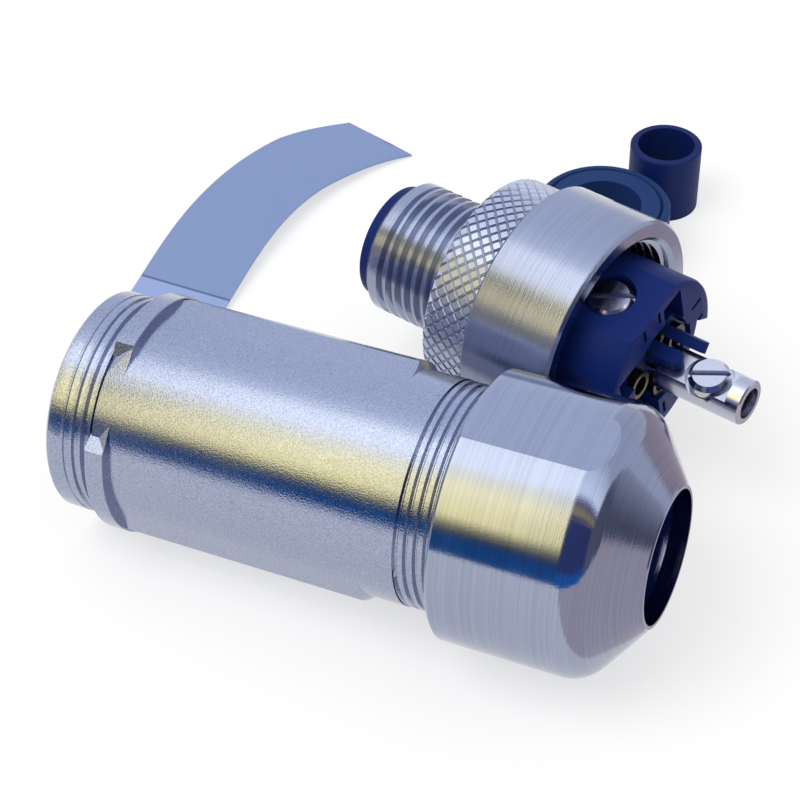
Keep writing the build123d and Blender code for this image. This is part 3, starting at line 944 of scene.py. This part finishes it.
# Stops are (angle up from the front horizon, colour at full strength)
LAMP_STOPS = [
    (-14, "#5b728c"),
    (-11, "#1c4569"),
    (14, "#153a64"),
    (18, "#333f48"),
    (23, "#7a7456"),
    (31, "#ead996"),
    (52, "#f9eab0"),
    (64, "#e8e2c6"),
    (72, "#eaeae6"),
    (88, "#eaeae6"),
    (97, "#b4b8c0"),
    (116, "#a1a6b2"),
    (178, "#9ba0ac"),
]
SIDE_STOPS = [
    (-14, "#8a8a90"),
    (-8, "#7a7876"),
    (14, "#716f70"),
    (26, "#6a6968"),
    (34, "#b4a884"),
    (44, "#b4a884"),
    (54, "#7b7868"),
    (60, "#777567"),
    (68, "#cdcdcf"),
    (76, "#cdcdcf"),
    (86, "#a7abb0"),
    (178, "#91929d"),
]
END_STOPS = [
    (-14, "#4c5872"),
    (-4, "#1d4a80"),
    (8, "#1d4a80"),
    (14, "#2a3253"),
    (52, "#2a3253"),
    (60, "#8a7a58"),
    (66, "#2e3654"),
    (74, "#c8ccd4"),
    (90, "#b4b8c0"),
    (110, "#8f929c"),
    (178, "#8f929c"),
]
SIDE_TO_LAMP = (-0.36, -0.32)
LAMP_TO_END = (-0.13, -0.09)
REFLECTOR_STRENGTH = 2.7

bpy.ops.mesh.primitive_circle_add(
    vertices=180, radius=REFLECTOR_RADIUS, location=(-REFLECTOR_LENGTH / 2, 0, 0),
    rotation=(0, math.pi / 2, 0),
)
reflector = bpy.context.object
reflector.name = "studio_reflector"
bpy.ops.object.transform_apply()
choose_vertices(
    reflector,
    lambda p: not REFLECTOR_FROM <= math.degrees(math.atan2(p.z, -p.y)) <= REFLECTOR_TO,
)
bpy.ops.mesh.delete(type="VERT")
bpy.ops.mesh.select_all(action="SELECT")
bpy.ops.mesh.extrude_edges_move(TRANSFORM_OT_translate={"value": (REFLECTOR_LENGTH, 0, 0)})
bpy.ops.object.mode_set(mode="OBJECT")
only_reflected(reflector)

reflector_material, tree = empty_material("studio_reflector")
place = add_node(tree, "TexCoord")
split = add_node(tree, "SeparateXYZ", {"Vector": (place, "Object")})
ahead = add_node(tree, "Math", {0: (split, "Y"), 1: -1.0}, operation="MULTIPLY")
angle = add_node(tree, "Math", {0: (split, "Z"), 1: (ahead, "Value")}, operation="ARCTAN2")
spread = REFLECTOR_TO - REFLECTOR_FROM
along = add_node(
    tree,
    "MapRange",
    {
        "Value": (angle, "Value"),
        "From Min": math.radians(REFLECTOR_FROM),
        "From Max": math.radians(REFLECTOR_TO),
    },
)
side, lamp_bands, end = [
    set_stops(
        add_node(tree, "ValToRGB", {"Fac": (along, "Result")}),
        [((a - REFLECTOR_FROM) / spread, h) for a, h in stops],
    )
    for stops in (SIDE_STOPS, LAMP_STOPS, END_STOPS)
]


def blend_along(limits, first, second):
    """Mixes two colours across a short stretch of the reflector's length."""
    share = add_node(
        tree, "MapRange", {"Value": (split, "X"), "From Min": limits[0], "From Max": limits[1]}
    )
    return add_node(tree, "Mix", {0: (share, "Result"), 6: first, 7: second}, data_type="RGBA")


bands = blend_along(SIDE_TO_LAMP, (side, "Color"), (lamp_bands, "Color"))
bands = blend_along(LAMP_TO_END, (bands, 2), (end, "Color"))
shine(tree, (bands, 2), REFLECTOR_STRENGTH)
give(reflector, reflector_material)

# %% [markdown]
# The gland nut's cone looks along the table to the right, past the end of the reflector. There it sees
# a dark card that turns pale towards the back, and a grey card that lies on the table.

# %% Cards at the right end
CARD_STRENGTH = 1.0
CARD_X = 0.9
CARD_TOP = 0.6
CARD_FRONT = -0.6
CARD_BACK = 1.6
TABLE_CARD_HALF = 0.5
TABLE_CARD_HEIGHT = 0.00005


def card(name, corners, stops):
    """Flat card that only reflections see, with colours that change along Y."""
    mesh = bpy.data.meshes.new(name)
    mesh.from_pydata(corners, [], [(0, 1, 2, 3)])
    thing = add_object(name, mesh)
    only_reflected(thing)
    made, tree = empty_material(name)
    place = add_node(tree, "TexCoord")
    split = add_node(tree, "SeparateXYZ", {"Vector": (place, "Object")})
    first, last = stops[0][0], stops[-1][0]
    along = add_node(
        tree, "MapRange", {"Value": (split, "Y"), "From Min": first, "From Max": last}
    )
    tones = add_node(tree, "ValToRGB", {"Fac": (along, "Result")})
    set_stops(tones, [((y - first) / (last - first), h) for y, h in stops])
    shine(tree, (tones, "Color"), CARD_STRENGTH)
    give(thing, made)


card(
    "studio_end_card",
    [
        (CARD_X, CARD_FRONT, 0.0),
        (CARD_X, CARD_BACK, 0.0),
        (CARD_X, CARD_BACK, CARD_TOP),
        (CARD_X, CARD_FRONT, CARD_TOP),
    ],
    [
        (CARD_FRONT, "#7a7e92"),
        (0.15, "#6c6f82"),
        (0.45, "#b0b4c4"),
        (0.8, "#e0e5f3"),
        (CARD_BACK, "#e0e5f3"),
    ],
)
near = table_origin.x + 0.05
card(
    "studio_table_card",
    [
        (near, -TABLE_CARD_HALF, TABLE_CARD_HEIGHT),
        (CARD_X, -TABLE_CARD_HALF, TABLE_CARD_HEIGHT),
        (CARD_X, TABLE_CARD_HALF, TABLE_CARD_HEIGHT),
        (near, TABLE_CARD_HALF, TABLE_CARD_HEIGHT),
    ],
    [
        (-TABLE_CARD_HALF, "#dcd6d7"),
        (-0.03, "#dcd2d6"),
        (0.02, "#c4b4bc"),
        (TABLE_CARD_HALF, "#b4b2c0"),
    ],
)

# %% [markdown]
# One large soft lamp above the front left gives the plastics some shape, and the floor its shadow.

# %% Lamp and view settings
LAMP_PLACE = Vector((-0.25, -0.3, 0.6))
LAMP_WIDTH = 0.5
LAMP_WATTS = 2.2

bpy.ops.object.light_add(type="AREA", location=LAMP_PLACE)
lamp = bpy.context.object
lamp.data.shape = "DISK"
lamp.data.size = LAMP_WIDTH
lamp.data.energy = LAMP_WATTS
lamp.visible_glossy = False
lamp.rotation_euler = (-LAMP_PLACE).to_track_quat("-Z", "Y").to_euler()
bpy.context.scene.view_settings.view_transform = "Standard"
